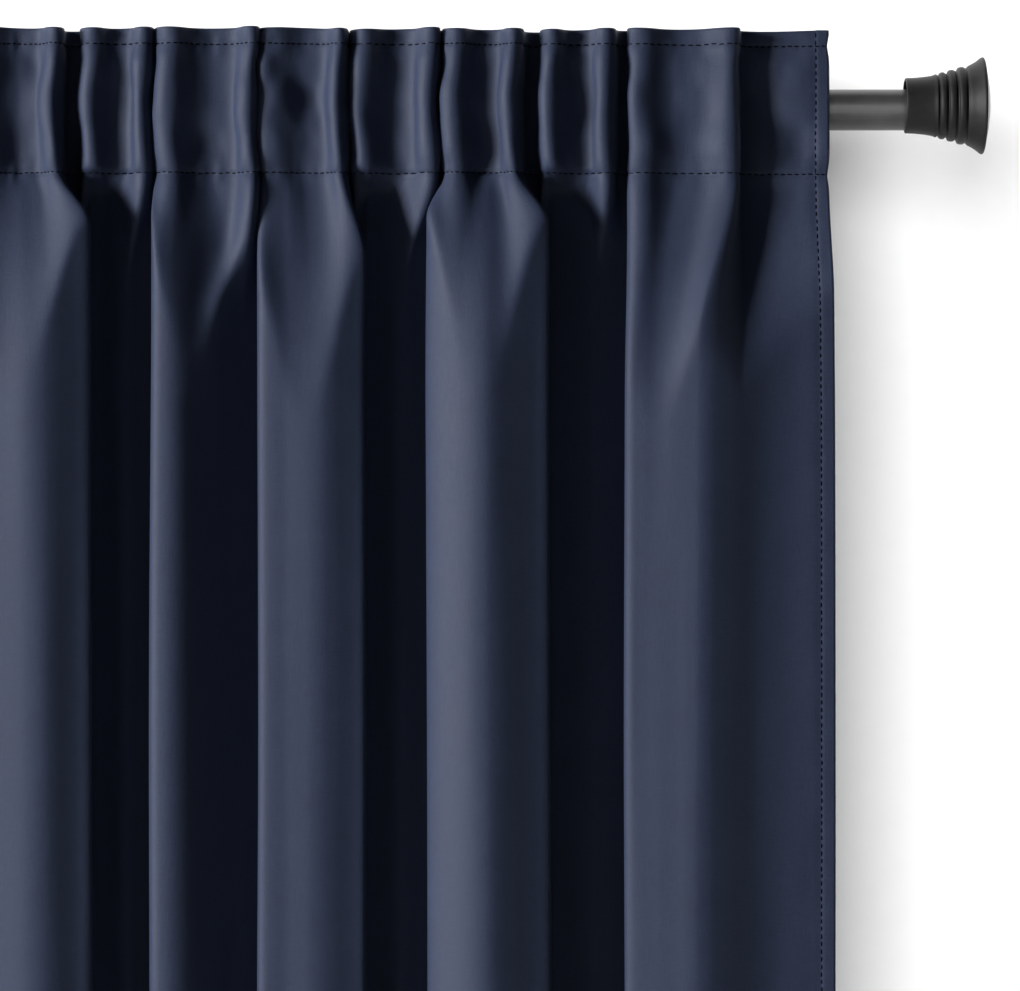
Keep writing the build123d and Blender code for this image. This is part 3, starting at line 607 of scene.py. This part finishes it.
        def one(p0, p1, n):
            ax = p1 - p0
            L = np.linalg.norm(ax)
            if L < 1e-5:
                return
            ax = ax / L
            side = np.cross(n, ax)
            side /= max(np.linalg.norm(side), 1e-9)
            base = len(verts)
            prof = [(-0.08, -0.9, 0.35), (0.10, 0.05, 0.85), (0.5, 0.35, 1.0), (0.90, 0.05, 0.85), (1.08, -0.9, 0.35)]
            for t, h, q in prof:
                c = p0 + ax * L * t + n * h * r
                for a in range(6):
                    an = math.pi * 2 * a / 6
                    verts.append(c + (side * math.cos(an) + n * math.sin(an)) * r * q)
            for k in range(len(prof) - 1):
                for a in range(6):
                    b = (a + 1) % 6
                    faces.append((base + k * 6 + a, base + k * 6 + b, base + (k + 1) * 6 + b, base + (k + 1) * 6 + a))
            faces.append(tuple(base + a for a in range(5, -1, -1)))
            faces.append(tuple(base + (len(prof) - 1) * 6 + a for a in range(6)))

        def row_s(z):
            s = 0.0015
            while s < FLAT_W - 0.004:
                dz = rng.normal(0, 0.00012)
                p0, n0 = self.at(s, z + dz)
                p1, n1 = self.at(s + dash * rng.uniform(0.9, 1.1), z + dz + rng.normal(0, 0.00008))
                one(p0, p1, (n0 + n1) / 2)
                s += pitch * rng.uniform(0.96, 1.04)

        def row_z(s, a, b):
            z = a
            while z > b:
                ds = rng.normal(0, 0.00008)
                p0, n0 = self.at(s + ds, z)
                p1, n1 = self.at(s + ds, z - dash * rng.uniform(0.85, 1.05))
                one(p0, p1, (n0 + n1) / 2)
                z -= pitch * rng.uniform(0.96, 1.04)

        row_s(UP_STITCH)
        row_s(LOW_STITCH)
        row_s(HEM_STITCH)
        row_z(SIDE_HEM, TOP_Z - 0.001, LOW_Z + 0.003)
        row_z(FLAT_W - SIDE_HEM, TOP_Z - 0.001, LOW_Z + 0.003)
        ob = new_mesh(name, verts, faces)
        ob.data.materials.append(THREAD)
        return ob


TAB_W = 0.026


def tab_piece(name, x, seed):
    """Back tab: a hemmed strip from the upper seam, round the rod, to the lower one."""
    rr = 0.0143 + 0.0005 + 0.0006
    d0 = 0.0190 - 0.0015 - 0.0006
    up, low, top, bot = 0.035, 0.032, 0.041, 0.038
    path = [(d0, top), (d0, (top + up) / 2), (d0, up)]
    a0 = math.atan2(up, d0) + math.acos(rr / math.hypot(d0, up))
    a1 = 2 * math.pi - math.atan2(low, d0) - math.acos(rr / math.hypot(d0, low))
    p1 = (rr * math.cos(a0), rr * math.sin(a0))
    p2 = (rr * math.cos(a1), rr * math.sin(a1))
    for i in range(1, 10):
        t = i / 10
        path.append((d0 + (p1[0] - d0) * t, up + (p1[1] - up) * t))
    for i in range(15):
        a = a0 + (a1 - a0) * i / 14
        path.append((rr * math.cos(a), rr * math.sin(a)))
    for i in range(1, 10):
        t = i / 10
        path.append((p2[0] + (d0 - p2[0]) * t, p2[1] + (-low - p2[1]) * t))
    path += [(d0, -low), (d0, -(low + bot) / 2), (d0, -bot)]
    path = np.array(path)
    tan = np.gradient(path, axis=0)
    tan /= np.linalg.norm(tan, axis=1, keepdims=True)
    nrm = np.c_[-tan[:, 1], tan[:, 0]]
    # outward is away from the rod
    nrm *= np.where((nrm * path).sum(1) < 0, -1, 1)[:, None]
    us = np.r_[0, 0.0012, 0.0035, 0.0055, np.linspace(0.0075, TAB_W - 0.0075, 7), TAB_W - 0.0055, TAB_W - 0.0035, TAB_W - 0.0012, TAB_W]
    L = np.r_[0, np.cumsum(np.linalg.norm(np.diff(path, axis=0), axis=1))]
    verts, uvs = [], []
    for face in (1, -1):
        for i, (d, h) in enumerate(path):
            for u in us:
                edge = min(u, TAB_W - u)
                t = 0.00045 if edge > 0.006 else 0.00055
                if edge < 0.0005:
                    t = 0.00022
                wav = 0.0002 * float(noise2(u / 0.009, L[i] / 0.02, seed)) if face > 0 else 0.0
                off = face * t + wav
                verts.append((x + (u - TAB_W / 2) * (1 - 0.02 * math.sin(math.pi * i / (len(path) - 1))), ROD_Y - (d + nrm[i, 0] * off), ROD_Z + h + nrm[i, 1] * off))
                uvs.append((u, L[i]))
    nu, npth = len(us), len(path)
    idx = np.arange(npth * nu).reshape(npth, nu)
    off = npth * nu
    faces = []
    for i in range(npth - 1):
        for j in range(nu - 1):
            q = (idx[i, j], idx[i, j + 1], idx[i + 1, j + 1], idx[i + 1, j])
            faces.append(tuple(int(k) for k in q))
            faces.append(tuple(int(k) + off for k in q[::-1]))
    ring = np.r_[idx[0, :], idx[1:, -1], idx[-1, -2::-1], idx[-2:0:-1, 0]]
    for a, b in zip(ring, np.roll(ring, -1)):
        faces.append((int(b), int(a), int(a) + off, int(b) + off))
    ob = new_mesh(name, verts, faces, uvs)
    me = ob.data
    # point every face outwards
    import bmesh
    bm = bmesh.new()
    bm.from_mesh(me)
    bmesh.ops.recalc_face_normals(bm, faces=bm.faces)
    bm.to_mesh(me)
    bm.free()
    me.materials.append(NAVY_TAB)
    return ob


def lathe(name, prof, x0, sgn, y, z, mat, seg=112):
    """Turns a closed (distance, radius) outline about the rod direction."""
    prof = np.array(prof, float)
    n = len(prof)
    ang = np.linspace(0, 2 * math.pi, seg, endpoint=False)
    verts = []
    for a, r in prof:
        for t in ang:
            verts.append((sgn * (x0 + a), y + r * math.cos(t), z + r * math.sin(t)))
    faces = []
    for i in range(n):
        j = (i + 1) % n
        if prof[i, 1] < 1e-7 and prof[j, 1] < 1e-7:
            continue
        for k in range(seg):
            m = (k + 1) % seg
            faces.append((i * seg + k, j * seg + k, j * seg + m, i * seg + m))
    ob = new_mesh(name, verts, faces)
    import bmesh
    bm = bmesh.new()
    bm.from_mesh(ob.data)
    bmesh.ops.remove_doubles(bm, verts=bm.verts, dist=1e-7)
    bmesh.ops.recalc_face_normals(bm, faces=bm.faces)
    bm.to_mesh(ob.data)
    bm.free()
    ob.data.polygons.foreach_set("use_smooth", [True] * len(ob.data.polygons))
    ob.data.materials.append(mat)
    # keep true corners crisp
    ob.data.set_sharp_from_angle(angle=math.radians(38))
    return ob


def soften(points, steps=4):
    """Rounds the corners of an outline given as (a, r, radius)."""
    out = []
    n = len(points)
    for i, (a, r, rad) in enumerate(points):
        p = np.array([a, r])
        q0, q1 = np.array(points[i - 1][:2]), np.array(points[(i + 1) % n][:2])
        if rad <= 0:
            out.append(tuple(p))
            continue
        d0, d1 = q0 - p, q1 - p
        l0, l1 = np.linalg.norm(d0), np.linalg.norm(d1)
        k = min(rad, 0.45 * l0, 0.45 * l1)
        a0, a1 = p + d0 / l0 * k, p + d1 / l1 * k
        for t in np.linspace(0, 1, steps + 1):
            out.append(tuple((1 - t) ** 2 * a0 + 2 * t * (1 - t) * p + t * t * a1))
    return out


# -------------------------------------------------------------- build pieces
TAB_U = [785, 632, 443, 259, 79, -108, -285]


def tab_x(side, u):
    x = EYE[0] + (u - 510.0) * U * (2.545 - 0.019) / 2.5
    return x if side == "right" else -(x + 0.009 * math.sin(x / 0.097 + 0.7))


tabs = {}
for side, seed in (("right", 3), ("left", 23)):
    panel = Panel(side, seed=seed)
    cloth = panel.mesh(side + "_curtain_panel")
    seams = panel.stitches(side + "_panel_stitching")
    sgn = 1 if side == "right" else -1
    for ob in (cloth, seams):
        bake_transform(ob)
    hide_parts(*[f"{side}_panel_cloth_{k}" for k in range(1, 7)])
    own = []
    for i, u in enumerate(TAB_U):
        t = tab_piece(f"{side}_tab_{i + 1}_strip", tab_x(side, u), 60 + i + seed)
        body = "rod" if i < 2 else (f"{side}_lead" if i == 6 else f"{side}_tab_{i + 1}")
        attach(t, body)
        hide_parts(f"{side}_back_tab_{i + 1}")
        own.append(t)

# rod tubes, with rolled ends
for name, x0, x1, ro, ri, body in (("outer", -0.788, 0.300, 0.0143, 0.0133, "rod"), ("inner", -0.240, 0.788, 0.0127, 0.0118, "inner_rod")):
    e = 0.0003
    prof = soften([(x0, ri, e), (x0, ro, e), (x1, ro, e), (x1, ri, e)])
    mid = np.linspace(x0 + 0.02, x1 - 0.02, 24)
    tube = lathe(name + "_rod_tube_skin", prof, 0.0, 1, ROD_Y, ROD_Z, TUBE)
    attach(tube, body)
    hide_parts(name + "_rod_tube")

# finials
BORE = 0.0155
BODY = [
    (0.0, BORE, 0.0004), (0.0, 0.0171, 0.0007), (0.0060, 0.01735, 0.002), (0.0120, 0.0179, 0.003), (0.0168, 0.0187, 0.002), (0.0191, 0.0197, 0.0007),
    (0.0198, 0.0188, 0.0004), (0.0206, 0.0190, 0.0004), (0.0213, 0.0204, 0.0007), (0.0228, 0.0208, 0.0008), (0.0242, 0.0206, 0.0007),
    (0.0251, 0.0197, 0.0004), (0.0258, 0.0199, 0.0004), (0.0266, 0.0218, 0.0007), (0.0284, 0.0223, 0.0009), (0.0300, 0.0221, 0.0007),
    (0.0309, 0.0213, 0.0004), (0.0317, 0.0216, 0.0004), (0.0326, 0.0236, 0.0007), (0.0344, 0.0241, 0.0009), (0.0361, 0.0239, 0.0007),
    (0.0371, 0.0231, 0.0004), (0.0379, 0.0236, 0.0004), (0.0388, 0.0246, 0.0008), (0.0418, 0.0261, 0.003), (0.0445, 0.0279, 0.003), (0.0468, 0.0298, 0.0008),
    (0.0480, 0.0301, 0.0005), (0.0486, 0.0296, 0.0004), (0.0486, 0.02875, 0.0003), (0.0466, 0.02865, 0.0), (0.0466, 0.0, 0.0), (0.0270, 0.0, 0.0), (0.0270, BORE, 0.0006),
]
TIP_X = 0.7668
for side in ("left", "right"):
    sgn = 1 if side == "right" else -1
    tr = 0.0127 if side == "right" else 0.0143
    az = ROD_Z + BORE - 0.0002 - tr
    body = lathe(side + "_finial_turned_body", soften(BODY, 4), TIP_X, sgn, ROD_Y, az, BLACK, 144)
    dome = [(0.0466, 0.0), (0.0466, 0.0284), (0.0482, 0.0286)]
    R = (0.0286 ** 2 + 0.0041 ** 2) / (2 * 0.0041)
    for i in range(0, 25):
        rr = 0.0282 * (1 - i / 24)
        dome.append((0.0525 - R + math.sqrt(R * R - rr * rr), rr))
    cap = lathe(side + "_finial_domed_cap", dome, TIP_X, sgn, ROD_Y, az, CAP, 144)
    for ob, node, slot in ((body, side + "_finial_body", "black_enamel"), (cap, side + "_finial_cap", "cap_metal")):
        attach(ob, side + "_finial")
        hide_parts(node)

# carried-over CAD pieces keep their shape and get finished materials
for name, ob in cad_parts.items():
    if "screw" in name:
        mat = SCREW
    elif "bracket" in name or "socket" in name or "plate" in name:
        mat = BRACKET
    else:
        continue
    ob.data.materials.clear()
    ob.data.materials.append(mat)

# ------------------------------------------------------------------- stage
def plane(name, pts):
    return new_mesh(name, pts, [(0, 1, 2, 3)], smooth_shade=False)


lo, hi = size_before
floor_z = lo[2] - 0.012
floor = plane("floor", [(-4, -5, floor_z), (4, -5, floor_z), (4, 0.0, floor_z), (-4, 0.0, floor_z)])
wall = plane("backdrop", [(-4, 0.0015, floor_z), (4, 0.0015, floor_z), (4, 0.0015, 1.6), (-4, 0.0015, 1.6)])


def stage_material(name, col, one_sided):
    m, nt, bs = node_mat(name)
    tc = add(nt, "ShaderNodeTexCoord")
    no = add(nt, "ShaderNodeTexNoise", Scale=60.0, Detail=4.0)
    nt.links.new(tc.outputs["Object"], no.inputs["Vector"])
    nt.links.new(ramp(nt, no.outputs[0], [(0.3, tuple(c * 0.985 for c in col)), (0.7, col)]), bs.inputs["Base Color"])
    bs.inputs["Roughness"].default_value = 0.9
    bs.inputs["Specular IOR Level"].default_value = 0.1
    if one_sided:
        geo = add(nt, "ShaderNodeNewGeometry")
        tr = add(nt, "ShaderNodeBsdfTransparent")
        mx = add(nt, "ShaderNodeMixShader")
        out = [n for n in nt.nodes if n.type == "OUTPUT_MATERIAL"][0]
        nt.links.new(geo.outputs["Backfacing"], mx.inputs[0])
        nt.links.new(bs.outputs[0], mx.inputs[1])
        nt.links.new(tr.outputs[0], mx.inputs[2])
        nt.links.new(mx.outputs[0], out.inputs[0])
    return m


wall.data.materials.append(stage_material("backdrop_white", (0.92, 0.92, 0.92), True))
floor.data.materials.append(stage_material("floor_pale", (0.55, 0.55, 0.545), False))


def area(name, loc, target, size, power, col=(1, 1, 1), size_y=None):
    d = bpy.data.lights.new(name, "AREA")
    d.energy, d.size, d.color = power, size, col
    if size_y:
        d.shape, d.size_y = "RECTANGLE", size_y
    o = bpy.data.objects.new(name, d)
    o.location = loc
    o.rotation_euler = (Vector(target) - Vector(loc)).to_track_quat("-Z", "Y").to_euler()
    bpy.context.scene.collection.objects.link(o)
    return o


def area_from(name, target, azimuth, elevation, distance, size, power, col=(1, 1, 1), size_y=None):
    """Soft light seen from the target at an angle left (-) or right (+) of straight ahead."""
    az, el = math.radians(azimuth), math.radians(elevation)
    off = Vector((math.sin(az) * math.cos(el), -math.cos(az) * math.cos(el), math.sin(el))) * distance
    return area(name, tuple(Vector(target) + off), target, size, power, col, size_y)


area_from("key", (0.35, -0.12, -0.25), -62, 8, 6.9, 1.7, 850, (1.0, 0.99, 0.97))
backdrop = bpy.data.collections.new("backdrop_light_receivers")
for name in ("outer_rod_tube_skin", "inner_rod_tube_skin"):
    backdrop.objects.link(bpy.data.objects[name])
backdrop.objects.link(wall)
for spec in (("backdrop_left", (0.75, 0, -0.3), -13, 6, 4.5, 2.0, 178, (1, 1, 1), 4.6), ("backdrop_right", (0.75, 0, -0.3), 35, 5, 4.5, 3.2, 90, (1, 1, 1), 3.2)):
    area_from(*spec).light_linking.receiver_collection = backdrop

world = bpy.data.worlds.new("studio")
world.use_nodes = True
bg = world.node_tree.nodes["Background"]
bg.inputs[0].default_value = (1.0, 1.0, 1.0, 1)
bg.inputs[1].default_value = 0.016
bpy.context.scene.world = world

bpy.context.scene.view_settings.view_transform = "Standard"

cam = bpy.data.cameras.new("view")
cam.sensor_width, cam.lens = 36.0, 36.0 * 2.5 / (1020 * U)
cam.clip_end = 50
co = bpy.data.objects.new("view", cam)
co.location = EYE
co.rotation_euler = (math.radians(90), 0, 0)
bpy.context.scene.collection.objects.link(co)
bpy.context.scene.camera = co
